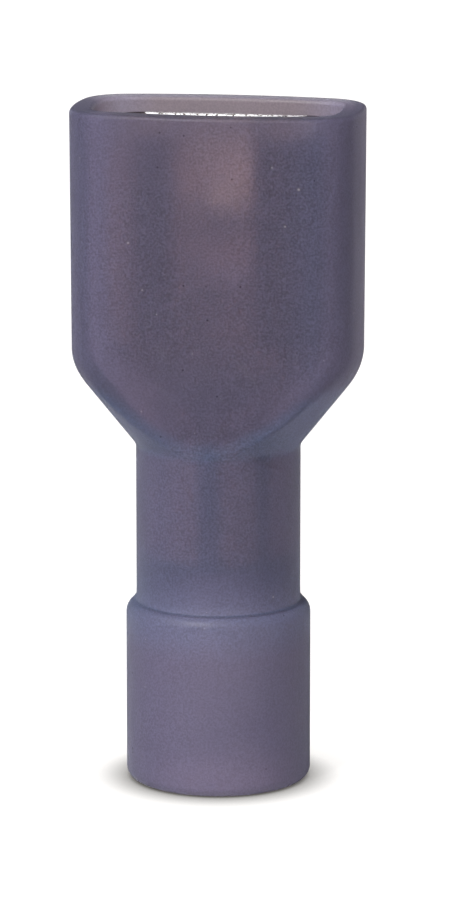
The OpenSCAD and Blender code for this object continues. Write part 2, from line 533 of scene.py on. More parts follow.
        def lathe(r: np.ndarray, z: np.ndarray) -> None:
            """Adds round rings of radius r at height z."""
            r, z = np.atleast_1d(r), np.atleast_1d(z)
            radii.append(np.repeat(r[:, None], self.around, 1))
            heights.append(z)

        arc = quarter(8)
        foot, crest = self.foot_round, self.collar_round
        lathe(self.collar_r - foot + foot * np.sin(arc), foot - foot * np.cos(arc))
        lathe(np.full(14, self.collar_r), np.linspace(foot, self.collar_h - crest, 16)[1:-1])
        lathe(
            self.collar_r - crest + crest * np.cos(arc),
            self.collar_h - crest + crest * np.sin(arc),
        )
        lathe(
            self.neck_r + self.neck_fillet * (1 - np.sin(arc[:6])),
            self.collar_h + self.neck_fillet * (1 - np.cos(arc[:6])),
        )
        flare_start = self.neck_top - self.flare_lead
        lathe(np.full(12, self.neck_r), np.linspace(self.collar_h, flare_start, 14)[1:-1])
        rim, top = self.rim_round, self.height
        flare_end = self.neck_top + self.flare_tall
        rise = np.concatenate([
            np.linspace(flare_start, flare_end, 64),
            np.linspace(flare_end, top - rim, 12)[1:],
        ])
        radii.append(self.flare(rise, 0, self.neck_r))
        heights.append(rise)
        radii.append(self.section(rim - rim * np.cos(arc[1:])))
        heights.append(top - rim + rim * np.sin(arc[1:]))
        radii.append(self.section(self.mouth_wall - rim + rim * np.cos(arc[::-1])))
        heights.append(top - rim + rim * np.sin(arc[::-1]))
        fall = np.concatenate([
            np.linspace(top - rim, flare_end, 12)[1:],
            np.linspace(flare_end, self.neck_top + self.bore_lead, 56)[1:],
        ])
        radii.append(self.flare(fall, self.mouth_wall, self.bore_r))
        heights.append(fall)
        lathe(np.full(10, self.bore_r), np.linspace(self.neck_top, self.ledge_z, 10))
        lathe(np.linspace(self.bore_r, self.funnel_r, 4)[1:], np.full(3, self.ledge_z))
        lathe(
            np.linspace(self.funnel_r, self.entry_r, 10)[1:],
            np.linspace(self.ledge_z, self.entry_depth, 10)[1:],
        )
        lathe(np.full(12, self.entry_r), np.linspace(self.entry_depth, 0, 14)[1:-1])
        lathe(np.array([self.entry_r, self.entry_r + self.foot_flat]), np.zeros(2))
        radius, height = np.concatenate(radii), np.concatenate(heights)
        turn = self.angles()[None, :]
        return np.stack([
            radius * np.cos(turn),
            radius * np.sin(turn),
            np.repeat(height[:, None], self.around, 1),
        ], -1)

    def cone_r(self, z: np.ndarray) -> np.ndarray:
        """Polar radius of the flare's cone at each height."""
        return self.neck_r + (z - self.neck_top) * math.tan(self.flare_angle)

    def shoulder_z(self) -> float:
        """Height at which the cone is as wide as the mouth."""
        return self.neck_top + (self.mouth_r - self.neck_r) / math.tan(self.flare_angle)

    def side(self, x: np.ndarray) -> np.ndarray:
        """How far each point lies towards the mouth's two ends, from 0 to 1."""
        return clamped((np.abs(x) - self.side_x) / self.side_fade)

    def thick(self, points: np.ndarray) -> np.ndarray:
        """How much of the nylon lies under each point, as it shows in its colour.

        Formula: 1 round the ledge inside the collar, 1 on the flare's cone, where a point's polar
        radius is that of the cone, haze on the rest of the collar and on the neck, and side_haze
        at the mouth's two ends.

        Args:
            points: Rows of coordinates.

        Returns:
            A share from 0 to 1 for each point.
        """
        radius, z = np.hypot(points[:, 0], points[:, 1]), points[:, 2]
        inward = self.cone_r(z) - radius
        on_cone = clamped(1 - (inward - self.cone_skin) / self.cone_fade)
        on_cone *= clamped(1 + (z - self.neck_top) / self.cone_low_fade)
        on_cone *= clamped((self.shoulder_z() - z) / self.cone_high_fade)
        ledge = clamped(1 + (z - self.entry_depth) / self.ledge_low_fade)
        ledge *= clamped(1 - (z - self.collar_h) / self.ledge_high_fade)
        below = clamped(1 + (self.neck_top - z) / self.neck_fade)
        below = below * (self.haze + (1 - self.haze) * ledge)
        ends = self.side_haze * self.side(points[:, 0]) * (1 - below)
        return np.maximum.reduce([on_cone, below, ends])

    def inside(self, points: np.ndarray) -> np.ndarray:
        """How much each point lies on the walls of the mouth's cavity.

        Formula: 1 where a point lies further than half the mouth's wall inside the outer skin,
        and less towards the neck and towards the mouth's two ends.

        Args:
            points: Rows of coordinates.

        Returns:
            A share from 0 to 1 for each point.
        """
        radius, z = np.hypot(points[:, 0], points[:, 1]), points[:, 2]
        rings = z.reshape(-1, self.around)[:, 0]
        skin = self.flare(rings, 0, self.neck_r).ravel()
        within = clamped((skin - radius) / (0.5 * self.mouth_wall))
        above_neck = clamped((z - self.neck_top - self.cavity_from) / self.cavity_fade)
        return within * above_neck * (1 - self.side(points[:, 0]))

    def build(self) -> bpy.types.Object:
        """Builds the housing, which stands for its CAD node.

        Returns:
            The dressed piece.
        """
        points, faces = closed_tube(self.rings())
        piece = make_piece("housing_skin", points, faces)
        add_layer(piece, THICK, self.thick(points))
        # share where the material paints warm shade inside the mouth's cavity
        add_layer(piece, INSIDE, self.inside(points))
        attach(piece, "root")
        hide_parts(Node.HOUSING.value)
        piece.data.materials.append(Nylon().material())
        return piece


# ---- terminal ----


@dataclass
class Terminal:
    """The stamped terminal: a folded receptacle, a trough that narrows, and a wire barrel.

    A sheet is described by its middle surface. On each half it is a function of the run, which
    is the distance along the sheet from the middle of the base.
    """

    sheet_t: float = 0.4 * MM
    edge_round: float = 0.11 * MM
    base_y: float = 1.8 * MM
    flat_half: float = 2.8 * MM
    bend_r: float = 0.9 * MM
    wall: float = 0.9 * MM
    curl_r: float = 1.3 * MM
    curl_turn: float = math.radians(207.49)
    curl_setback: float = 0.4 * MM
    barrel_z: float = 7.6 * MM
    barrel_top: float = 12.1 * MM
    recept_z: float = 15.2 * MM
    recept_top: float = 22.7 * MM
    barrel_mid: float = 1.75 * MM
    seam_gap: float = 0.1 * MM
    seam_soft: float = 0.4 * MM
    # painted shade on the plating: where it reaches and how dark it is
    lead_rub: float = 1.9 * MM
    shade_z: float = 18.0 * MM
    barrel_shade: float = 0.5
    dimple_rub: float = 0.7
    curl_shade: float = 0.45 * MM
    curl_fade: float = 1.3 * MM
    deep_curve: float = 0.7
    dimple_reach: float = 1.8
    seam_reach: float = 1.4
    torn_inset: float = 0.05 * MM
    torn_back: float = 0.45
    torn_front: float = 0.2
    trough_wall: float = 0.8 * MM
    half_run: float = 5 * MM
    lap: float = 0.1 * MM
    lap_inset: float = 0.01 * MM
    dimple_z: float = 19.4 * MM
    dimple_r: float = 0.8 * MM
    dimple_h: float = 0.22 * MM
    dimple_soft: float = 0.03 * MM
    setback_fade: float = 3 * MM
    stop_z: float = 16.0 * MM
    stop_w: float = 1.5 * MM
    stop_len: float = 1.3 * MM
    stop_angle: float = math.radians(32)
    stop_side: float = 0.1 * MM
    stop_room: float = 0.2 * MM

    def folded(self, run: np.ndarray) -> tuple[np.ndarray, np.ndarray]:
        """Middle line of the receptacle at a run along the sheet.

        Formula: straight to flat_half, a quarter turn of bend_r less half the sheet, the
        straight wall, and then the curl, a turn of curl_r less half the sheet.

        Args:
            run: Distances from the middle of the base, negative on the left.

        Returns:
            The positions across and front to back.
        """
        far = np.abs(run)
        bend, curl = self.bend_r - self.sheet_t / 2, self.curl_r - self.sheet_t / 2
        on_bend = far - self.flat_half
        on_wall = on_bend - bend * np.pi / 2
        on_curl = on_wall - self.wall
        turn = np.clip(on_bend / bend, 0, np.pi / 2)
        roll = np.clip(on_curl / curl, 0, None)
        x = np.minimum(far, self.flat_half) + bend * np.sin(turn) - curl * (1 - np.cos(roll))
        y = self.base_y - self.sheet_t / 2 - bend * (1 - np.cos(turn))
        y = y - np.clip(on_wall, 0, self.wall) - curl * np.sin(roll)
        return np.sign(run) * x, y

    def receptacle(self) -> Shell:
        """The folded receptacle with its dimple and the window of its stop.

        Formula: the dimple is the cap of a ball of radius (r r + h h) / (2 h). The leading edge
        of the curls is set back in proportion to how far they stand in front of the bend.

        Returns:
            The closed shell.
        """
        bend, curl = self.bend_r - self.sheet_t / 2, self.curl_r - self.sheet_t / 2
        reach = self.flat_half + bend * np.pi / 2 + self.wall + curl * self.curl_turn
        run, run_drop = graded(-reach, reach, 200, self.edge_round)
        z, z_drop = graded(self.recept_z, self.recept_top, 76, self.edge_round)
        side = self.stop_w / 2 + self.stop_side
        low, high = self.stop_z, self.stop_z + self.stop_len + self.stop_room
        for spot in (-side, side):
            run[np.argmin(np.abs(run - spot))] = spot
        for spot in (low, high):
            z[np.argmin(np.abs(z - spot))] = spot
        x, y = (np.repeat(line[None], len(z), 0) for line in self.folded(run))
        height = np.repeat(z[:, None], len(run), 1)
        ball = (self.dimple_r**2 + self.dimple_h**2) / (2 * self.dimple_h)
        away = np.hypot(x, height - self.dimple_z)
        on_base = y > self.base_y - self.sheet_t
        cap = np.sqrt(np.maximum(ball**2 - away**2, 0)) - ball + self.dimple_h
        y = y - np.where(on_base, smooth_max(cap, np.zeros_like(cap), self.dimple_soft), 0)
        back = np.clip(self.base_y - self.bend_r - y, 0, None) / (self.wall + self.curl_r)
        near_end = clamped(1 - (self.recept_top - height) / self.setback_fade)
        height = height - self.curl_setback * back * near_end
        thickness = self.sheet_t - 2 * np.maximum(run_drop[None], z_drop[:, None])
        column, row = (run[:-1] + run[1:]) / 2, (z[:-1] + z[1:]) / 2
        window = (np.abs(column) < side)[None] & ((row > low) & (row < high))[:, None]
        return closed_sheet(np.stack([x, y, height], -1), thickness, ~window)

    def trough(self) -> Shell:
        """The wire barrel with its butted seam, and the trough that joins it to the base.

        Formula: with s the part of the half run and t that of the height, the middle line is
        barrel(s) + ease(t) (folded(s) - barrel(s)), where ease(t) = t t (3 - 2 t). The edge's
        rounding becomes a part of the run by half_run, which lies between the two ends' own.

        Returns:
            The closed shell.
        """
        part, drop = graded(-1, 1, 96, self.edge_round / self.half_run)
        drop = drop * self.half_run
        z, z_drop = graded(self.barrel_z, self.recept_z + self.lap, 72, self.edge_round)
        turn = part * (np.pi - math.asin(self.seam_gap / 2 / self.barrel_mid))
        bend = self.bend_r - self.sheet_t / 2
        reach = self.flat_half + bend * np.pi / 2 + self.trough_wall
        wide = np.stack(self.folded(part * reach), -1)[None]
        round_ = self.barrel_mid * np.stack([np.sin(turn), np.cos(turn)], -1)[None]
        t = clamped((z - self.barrel_top) / (self.recept_z - self.barrel_top))
        line = round_ + (t * t * (3 - 2 * t))[:, None, None] * (wide - round_)
        height = np.repeat(z[:, None, None], len(part), 1)
        thickness = self.sheet_t - 2 * np.maximum(drop[None], z_drop[:, None])
        thickness = thickness - 2 * self.lap_inset * (z > self.recept_z - self.lap)[:, None]
        middle = np.concatenate([line, height], -1)
        return closed_sheet(middle, thickness, np.ones((len(z) - 1, len(part) - 1), dtype=bool))

    def tongue(self) -> Shell:
        """The stop tongue, bent out of the base towards the blade's end.

        Formula: flat in the base's plane below its bend, and above it a straight strip that
        leans forward by stop_angle.

        Returns:
            The closed shell.
        """
        across, across_drop = graded(-self.stop_w / 2, self.stop_w / 2, 12, self.edge_round)
        along, along_drop = graded(-self.sheet_t, self.stop_len, 20, self.edge_round)
        lean = np.clip(along, 0, None)
        y = self.base_y - self.sheet_t / 2 - lean * math.sin(self.stop_angle)
        z = self.stop_z + np.clip(along, None, 0) + lean * math.cos(self.stop_angle)
        shape = (len(along), len(across))
        middle = np.stack([
            np.broadcast_to(across[None], shape),
            np.broadcast_to(y[:, None], shape),
            np.broadcast_to(z[:, None], shape),
        ], -1)
        thickness = self.sheet_t - 2 * np.maximum(across_drop[None], along_drop[:, None])
        thickness = thickness - 2 * self.lap_inset
        return closed_sheet(middle, thickness, np.ones((shape[0] - 1, shape[1] - 1), dtype=bool))

    def painted_shade(self, x: np.ndarray, y: np.ndarray, z: np.ndarray) -> np.ndarray:
        """How much painted shade darkens the plating at each point.

        Formula: the greatest of four shares of painted shade. The first is 1 on the outside of the
        curls, which lies further than curl_r less half the sheet from their middle line, and falls
        to 0 within curl_shade of the gap between them and within curl_fade of the left wall. The
        second falls from 1 at the leading edge to 0 within lead_rub. The third is dimple_rub on
        the dimple, where it dims the reflection of a lamp, and falls to 0 beside it. The fourth,
        shade deeper in the housing, rises from 0 at shade_z to 1 just above the barrel, which has
        barrel_shade.

        Args:
            x: Positions across.
            y: Positions front to back.
            z: Heights.

        Returns:
            A share from 0 to 1 for each point.
        """
        curl_x = self.flat_half + self.bend_r - self.curl_r
        far = np.hypot(np.abs(x) - curl_x, y) > self.curl_r - self.sheet_t / 2
        outside = far & (y < self.base_y - 1.5 * self.sheet_t)
        outside = outside * clamped((np.abs(x) - curl_x + self.curl_r) / self.curl_shade)
        outside = outside * clamped((curl_x + self.curl_r + x) / self.curl_fade)
        leading = clamped(1 - (self.recept_top - z) / self.lead_rub)
        deep = clamped((self.shade_z - z) / (self.shade_z - self.barrel_top)) ** self.deep_curve
        deep = np.where(z < self.barrel_top, self.barrel_shade, deep)
        away = np.hypot(x, z - self.dimple_z) / self.dimple_r
        dimple = self.dimple_rub * clamped(self.dimple_reach - away)
        return np.maximum.reduce([outside, leading, dimple, deep])

    def torn(self, x: np.ndarray, y: np.ndarray, z: np.ndarray) -> np.ndarray:
        """Finds the base's sheared edge in the mouth, between parts of its two roundings.

        Args:
            x: Positions across.
            y: Positions front to back.
            z: Heights.

        Returns:
            Whether each point lies on that edge.
        """
        back = self.base_y - self.torn_back * self.edge_round
        front = self.base_y - self.sheet_t + self.torn_front * self.edge_round
        flat = (np.abs(x) < self.flat_half - self.torn_inset) & (y < back) & (y > front)
        return flat & (z > self.recept_top - self.sheet_t)

    def seam(self, x: np.ndarray, y: np.ndarray, z: np.ndarray) -> np.ndarray:
        """How near each point of the barrel lies to its seam, as a share that falls to 0."""
        # the share spreads painted shade about a millimetre wide round the barrel's seam
        near = clamped(self.seam_reach - np.abs(x) / self.seam_soft)
        return near * (z < self.barrel_top) * (y < 0)

    def build(self) -> bpy.types.Object:
        """Builds the terminal, which stands for its CAD node.

        Returns:
            The dressed piece.
        """
        sheet = joined([self.receptacle(), self.trough(), self.tongue()])
        piece = make_piece("terminal_sheet", sheet.points, sheet.faces)
        place = sheet.points.T
        torn = self.torn(*place)
        # dull cut edges, plus painted shade widened round the barrel's seam
        add_layer(piece, CUT_EDGE_AND_SEAM_SHADE, np.maximum(sheet.cut, self.seam(*place)) * ~torn)
        add_layer(piece, SHEARED_EDGE, sheet.cut * torn)
        # painted shade that darkens the plating on the curls, at the top edge, on the dimple and
        # deep in the housing
        add_layer(piece, PAINTED_SHADE, self.painted_shade(*place))
        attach(piece, "root")
        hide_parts(Node.TERMINAL.value)
        piece.data.materials.append(TinPlate().material())
        return piece


# ---- finishes ----


@dataclass
class Effects:
    """Shared effects as node groups, each made once and then used by several finishes."""

    made: dict[str, bpy.types.NodeTree] = field(default_factory=dict)

    def start(
        self, name: str, inputs: dict[str, float], outputs: list[str]
    ) -> tuple[Graph, bpy.types.Node, bpy.types.Node]:
        """Makes an empty group with value sockets.

        Args:
            name: Name of the group.
            inputs: Its inputs with their defaults.
            outputs: Its outputs.

        Returns:
            The group's graph, its input node and its output node.
        """
        tree = bpy.data.node_groups.new(name, "ShaderNodeTree")
        for socket, default in inputs.items():
            tree.interface.new_socket(
                socket, in_out="INPUT", socket_type="NodeSocketFloat"
            ).default_value = default
        for socket in outputs:
            tree.interface.new_socket(socket, in_out="OUTPUT", socket_type="NodeSocketFloat")
        self.made[name] = tree
        graph = Graph(tree)
        return graph, graph.add("NodeGroupInput"), graph.add("NodeGroupOutput")

    def mottle(self) -> bpy.types.NodeTree:
        """Soft clouds of two sizes: the larger ones from Scale, the grain from Grain.

        Returns:
            The group.
        """
        if "mottle" not in self.made:
            graph, given, result = self.start(
                "mottle", {"Scale": 400.0, "Grain": 5000.0}, ["Clouds", "Grain"]
            )
            place = graph.add("ShaderNodeTexCoord").outputs["Object"]
            clouds = graph.add(
                "ShaderNodeTexNoise", in_Vector=place, in_Scale=given.outputs["Scale"],
                in_Detail=3.0, in_Roughness=0.55,
            )
            grain = graph.add(
                "ShaderNodeTexNoise", in_Vector=place, in_Scale=given.outputs["Grain"],
                in_Detail=2.0, in_Roughness=0.6,
            )
            graph.feed(result.inputs["Clouds"], graph.ramp(clouds.outputs[0], 0.3, 0.7))
            graph.feed(result.inputs["Grain"], graph.ramp(grain.outputs[0], 0.28, 0.72))
        return self.made["mottle"]

    def specks(self) -> bpy.types.NodeTree:
        """Sparse round specks: Share says how many of the cells hold one, Size how wide it is.

        Returns:
            The group.
        """
        if "specks" not in self.made:
            graph, given, result = self.start(
                "specks", {"Scale": 1500.0, "Share": 0.1, "Size": 0.16}, ["Mask"]
            )
            place = graph.add("ShaderNodeTexCoord").outputs["Object"]
            cells = graph.add(
                "ShaderNodeTexVoronoi", in_Vector=place, in_Scale=given.outputs["Scale"]
            )
            lot = graph.add("ShaderNodeSeparateColor", in_0=cells.outputs["Color"])
            chosen = graph.math("LESS_THAN", lot.outputs[0], given.outputs["Share"])
            size = graph.math("MULTIPLY", given.outputs["Size"], lot.outputs[1])
            inner = graph.math("MULTIPLY", size, 0.5)
            rim = graph.ramp(cells.outputs["Distance"], size, inner)
            graph.feed(result.inputs["Mask"], graph.math("MULTIPLY", chosen, rim))
        return self.made["specks"]

    def scratches(self) -> bpy.types.NodeTree:
        """Short hairlines: streaks of noise, Stretch times longer than wide, cut into pieces.

        Returns:
            The group.
        """
        if "scratches" not in self.made:
            sockets = {"Scale": 3000.0, "Stretch": 14.0, "Turn": 0.5, "Share": 0.62}
            graph, given, result = self.start("scratches", sockets, ["Mask"])
            place = graph.add("ShaderNodeTexCoord").outputs["Object"]
            turned = graph.add(
                "ShaderNodeVectorRotate", rotation_type="Y_AXIS", in_Vector=place,
                in_Angle=given.outputs["Turn"],
            )
            thin = graph.math("DIVIDE", 1.0, given.outputs["Stretch"])
            squash = graph.add("ShaderNodeCombineXYZ", in_X=1.0, in_Y=1.0, in_Z=thin)
            drawn = graph.add(
                "ShaderNodeVectorMath", operation="MULTIPLY", in_0=turned.outputs[0],
                in_1=squash.outputs[0],
            )
            streaks = graph.add(
                "ShaderNodeTexNoise", in_Vector=drawn.outputs[0], in_Scale=given.outputs["Scale"],
                in_Detail=1.0,
            )
            patches = graph.add(
                "ShaderNodeTexNoise", in_Vector=place, in_Scale=520.0, in_Detail=1.0
            )
            top = graph.math("ADD", given.outputs["Share"], 0.06)
            line = graph.ramp(streaks.outputs[0], given.outputs["Share"], top)
            part = graph.ramp(patches.outputs[0], 0.5, 0.62)
            graph.feed(result.inputs["Mask"], graph.math("MULTIPLY", line, part))
        return self.made["scratches"]


EFFECTS = Effects()


@dataclass(frozen=True)
class Nylon:
    """Translucent blue-grey nylon, satin from the mould."""

    colour: Colour = (0.134, 0.124, 0.209, 1)
    cloud: Colour = (0.142, 0.128, 0.215, 1)
    deep: Colour = (0.148, 0.182, 0.315, 1)
    # painted warm shade for the walls inside the mouth's cavity
    inner: Colour = (0.115, 0.085, 0.083, 1)
    # painted shade for surfaces that face up, such as the top of the mouth's rim
    rim: Colour = (0.078, 0.083, 0.140, 1)
    dust: Colour = (0.85, 0.80, 0.85, 1)
    grit: Colour = (0.05, 0.04, 0.07, 1)
    dye: Colour = (0.432, 0.266, 0.405, 1)
    dye_density: float = 1260.0
    lit_through: Colour = (0.34, 0.34, 0.34, 1)
    clear_share: float = 0.72
    grazing: float = 0.08
    roughness: float = 0.22
    matte: float = 0.35
    blur: float = 0.44
    bending: float = 1.33
    shine: float = 0.0
    grain_low: float = 0.6
    grain_depth: float = 0.8
    tint_grain: float = 0.2
    grit_share: float = 0.7
    grit_through: float = 0.6
    hair_share: float = 0.04
    hair_bump: float = -0.3
    hair_rough: float = 0.12
    cloud_rough: float = 0.06
    bump: float = 0.12
    bump_depth: float = 0.02 * MM

    def marks(self, graph: Graph) -> dict[str, bpy.types.NodeSocket]:
        """Adds the shared effects.

        Args:
            graph: Where the nodes go.

        Returns:
            Their masks by name, and upward, which says how much a surface faces up.
        """
        mottle = graph.group(EFFECTS.mottle(), Scale=420.0, Grain=14000.0)
        dust = graph.group(EFFECTS.specks(), Scale=2300.0, Share=0.25, Size=0.13)
        grit = graph.group(EFFECTS.specks(), Scale=2500.0, Share=0.3, Size=0.13)
        hairs = graph.group(EFFECTS.scratches(), Scale=4200.0, Stretch=16.0, Turn=0.6, Share=0.66)
        normal = graph.add("ShaderNodeNewGeometry").outputs["Normal"]
        upward = graph.add("ShaderNodeSeparateXYZ", in_0=normal).outputs["Z"]
        return {
            "clouds": mottle.outputs["Clouds"],
            "grain": mottle.outputs["Grain"],
            "dust": dust.outputs[0],
            "grit": grit.outputs[0],
            "hairs": hairs.outputs[0],
            "upward": graph.ramp(upward, 0.6, 0.95),
        }

    def tone(self, graph: Graph, marks: dict[str, bpy.types.NodeSocket]) -> bpy.types.NodeSocket:
        """Builds the colour that the wall scatters.

        Args:
            graph: Where the nodes go.
            marks: The masks of the shared effects.

        Returns:
            The clouded colour, changed where the nylon is thick, with painted warm shade inside
            the mouth and painted shade on surfaces that face up, and then grained and specked.
        """
        thick = graph.layer(THICK)
        # edge: where painted shade darkens surfaces that face up, away from the thick nylon
        edge = graph.math("MULTIPLY", marks["upward"], graph.math("SUBTRACT", 1.0, thick))
        tone = graph.mix(marks["clouds"], self.colour, self.cloud)
        tone = graph.mix(thick, tone, self.deep)
        # painted warm shade on the walls inside the mouth
        tone = graph.mix(graph.layer(INSIDE), tone, self.inner)
        tone = graph.mix(edge, tone, self.rim)
        grain = graph.math("MULTIPLY_ADD", marks["grain"], self.grain_depth, self.grain_low)
        tone = graph.mix(marks["dust"], graph.scaled(tone, grain), self.dust)
        grit = graph.math("MULTIPLY", marks["grit"], self.grit_share)
        hairs = graph.math("MULTIPLY", marks["hairs"], self.hair_share)
        return graph.mix(hairs, graph.mix(grit, tone, self.grit), self.dust)

    def tint(self, graph: Graph, marks: dict[str, bpy.types.NodeSocket]) -> bpy.types.NodeSocket:
        """Builds the colour of what comes through the wall.

        Args:
            graph: Where the nodes go.
            marks: The masks of the shared effects.

        Returns:
            Nearly white, faintly grained and specked.
        """
        grain = graph.math("MULTIPLY_ADD", marks["grain"], self.tint_grain, 1 - self.tint_grain)
        grit = graph.math("MULTIPLY", marks["grit"], self.grit_through)
        return graph.mix(grit, graph.scaled((1, 1, 1), grain), self.grit)

    def body(self, graph: Graph) -> bpy.types.Node:
        """Adds the solid and the clear shader and mixes them.

        Formula: the clear one's part is clear_share less grazing times how much the surface turns
        away from the viewer.

        Args:
            graph: Where the nodes go.

        Returns:
            The node that mixes the two.
        """
        marks = self.marks(graph)
        rough = graph.math("MULTIPLY_ADD", marks["clouds"], self.cloud_rough, self.roughness)
        rough = graph.math("MULTIPLY_ADD", marks["hairs"], self.hair_rough, rough)
        rough = graph.math("MULTIPLY_ADD", marks["upward"], self.matte, rough)
        height = graph.math("MULTIPLY_ADD", marks["hairs"], self.hair_bump, marks["grain"])
        bump = graph.add(
            "ShaderNodeBump", in_Strength=self.bump, in_Distance=self.bump_depth, in_Height=height
        )
        solid = graph.add(
            "ShaderNodeBsdfPrincipled",
            in_Base_Color=self.tone(graph, marks),
            in_Roughness=rough,
            in_IOR=self.bending,
            in_Specular_IOR_Level=self.shine,
            in_Normal=bump.outputs[0],
        )
        clear = graph.add(
            "ShaderNodeBsdfPrincipled",
            in_Base_Color=self.tint(graph, marks),
            in_Roughness=graph.math("ADD", rough, self.blur - self.roughness),
            in_IOR=self.bending,
            in_Transmission_Weight=1.0,
            in_Normal=bump.outputs[0],
        )
        facing = graph.add("ShaderNodeLayerWeight", in_Blend=0.5).outputs["Facing"]
        return graph.add(
            "ShaderNodeMixShader",
            in_0=graph.math("MULTIPLY_ADD", facing, -self.grazing, self.clear_share, clamp=True),
            in_1=solid.outputs[0],
            in_2=clear.outputs[0],
        )

    def material(self) -> bpy.types.Material:
        """Makes the nylon's material.

        Returns:
            A material that scatters part of the light at the wall and lets the rest through
            blurred, and that lets lamps shine through to what lies behind.
        """
        material, graph, output = new_material("nylon")
        passed = graph.add("ShaderNodeBsdfTransparent", in_Color=self.lit_through)
        rays = graph.add("ShaderNodeLightPath")
        mixed = graph.add(
            "ShaderNodeMixShader",
            in_0=rays.outputs[RayUse.SHADOW.value],
            in_1=self.body(graph).outputs[0],
            in_2=passed.outputs[0],
        )
        dyed = graph.add(
            "ShaderNodeVolumeAbsorption", in_Color=self.dye, in_Density=self.dye_density
        )
        graph.feed(output.inputs["Surface"], mixed.outputs[0])
        graph.feed(output.inputs["Volume"], dyed.outputs[0])
        return material


@dataclass(frozen=True)
class TinPlate:
    """Bright tin plating on the folded sheet, with the lines of its rolling."""

    colour: Colour = (0.97, 0.77, 0.58, 1)
    worn: Colour = (0.92, 0.71, 0.52, 1)
    # colour of the painted shade, also used for the dark breaks in the sheared edge
    painted_shade: Colour = (0.065, 0.045, 0.035, 1)
    # dark colour of the cut edges and of the painted shade round the barrel's seam
    dull: Colour = (0.05, 0.04, 0.045, 1)
    sheared: Colour = (0.97, 0.97, 0.97, 1)
    pit: Colour = (0.4, 0.37, 0.34, 1)
    roughness: float = 0.44
    pit_share: float = 0.5
    cloud_rough: float = 0.14
    line_rough: float = 0.08
    hair_bump: float = -1.0
    grain_bump: float = 0.4
    bump: float = 0.25
    bump_depth: float = 0.01 * MM

    def material(self) -> bpy.types.Material:
        """Makes the plating's material.

        Returns:
            A metal that is clouded and pitted, dull where it is rubbed or was cut, and bright and
            broken where it was sheared.
        """
        material, graph, output = new_material("tin_plate")
        mottle = graph.group(EFFECTS.mottle(), Scale=700.0, Grain=9000.0)
        lines = graph.group(EFFECTS.scratches(), Scale=6000.0, Stretch=60.0, Turn=0.0, Share=0.5)
        hairs = graph.group(EFFECTS.scratches(), Scale=5000.0, Stretch=18.0, Turn=1.1, Share=0.64)
        pits = graph.group(EFFECTS.specks(), Scale=2600.0, Share=0.12, Size=0.2)
        clouds, grain = mottle.outputs["Clouds"], mottle.outputs["Grain"]
        tone = graph.mix(clouds, self.colour, self.worn)
        tone = graph.mix(graph.math("MULTIPLY", pits.outputs[0], self.pit_share), tone, self.pit)
        rough = graph.math("MULTIPLY_ADD", clouds, self.cloud_rough, self.roughness)
        rough = graph.math("MULTIPLY_ADD", lines.outputs[0], self.line_rough, rough)
        # painted shade: the plating turns dark where the terminal's share of it is high
        tone = graph.mix(graph.layer(PAINTED_SHADE), tone, self.painted_shade)
        # dull cut edges, and painted shade round the barrel's seam
        tone = graph.mix(graph.layer(CUT_EDGE_AND_SEAM_SHADE), tone, self.dull)
        # the sheared edge's bright colour is broken by patches of the painted shade colour
        torn = graph.mix(graph.ramp(grain, 0.45, 0.8), self.sheared, self.painted_shade)
        tone = graph.mix(graph.ramp(graph.layer(SHEARED_EDGE), 0.0, 0.3), tone, torn)
        height = graph.math("MULTIPLY_ADD", hairs.outputs[0], self.hair_bump, lines.outputs[0])
        height = graph.math("MULTIPLY_ADD", grain, self.grain_bump, height)
        bump = graph.add(
            "ShaderNodeBump", in_Strength=self.bump, in_Distance=self.bump_depth, in_Height=height
        )
        body = graph.add(
            "ShaderNodeBsdfPrincipled",
            in_Base_Color=tone,
            in_Metallic=1.0,
            in_Roughness=rough,
            in_Normal=bump.outputs[0],
        )
        graph.feed(output.inputs["Surface"], body.outputs[0])
        return material


# ---- studio ----


@dataclass(frozen=True)
class Lamp:
    """A soft square lamp: its place round the part in degrees, its power in watts, its width."""

    name: str
    azimuth: float
    elevation: float
    power: float
    size: float


@dataclass(frozen=True)
class Contact:
    """A contact shade on the floor: how far it reaches, its power, and the way it leans."""

    reach: float
    depth: float
    lean: tuple[float, float, float]


